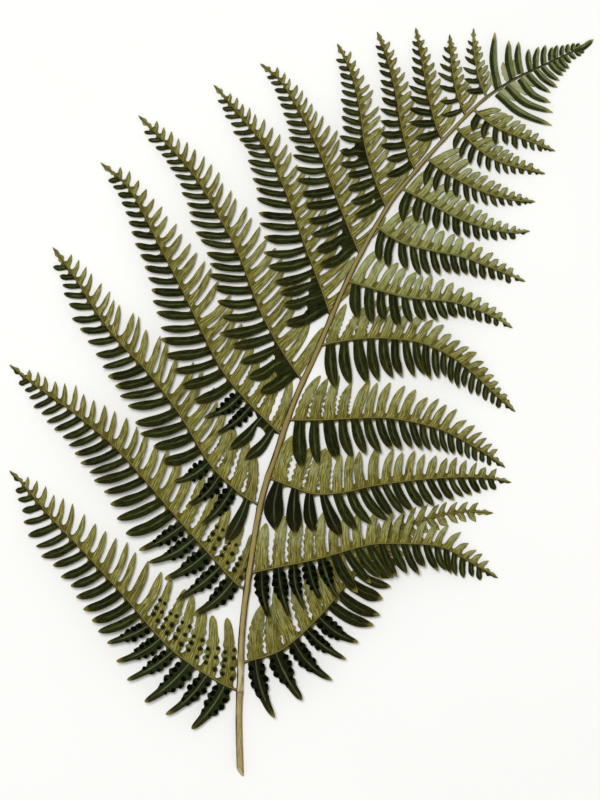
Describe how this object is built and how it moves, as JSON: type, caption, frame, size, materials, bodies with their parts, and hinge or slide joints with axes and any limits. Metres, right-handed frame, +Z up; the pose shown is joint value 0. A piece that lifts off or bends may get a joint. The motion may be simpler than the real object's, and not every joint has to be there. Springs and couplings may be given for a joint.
{
  "type": "bracken frond",
  "caption": "Cut fern frond lying spread on a table, underside up: a curved tapering stalk, arched side leaves cut into narrow leaflets, and round spore dots on the lowest ones.",
  "frame": {"origin": "middle of the frond's box, on the surface it lies on", "axes": "+Y from the cut stalk towards the frond's tip, +X to its right as seen from above, +Z up from the surface, out of the spore side"},
  "size_m": [0.4397, 0.5615, 0.0179],
  "materials": {
    "leaf": "matt green-black and olive leaf, waxy, with fine veins",
    "stalk": "smooth straw-brown stem, slightly glossy, darker along its edges",
    "spores": "matt black grainy dots"
  },
  "bodies": {
    "root": {"bracken_frond": "leaf"}
  },
  "joints": []
}
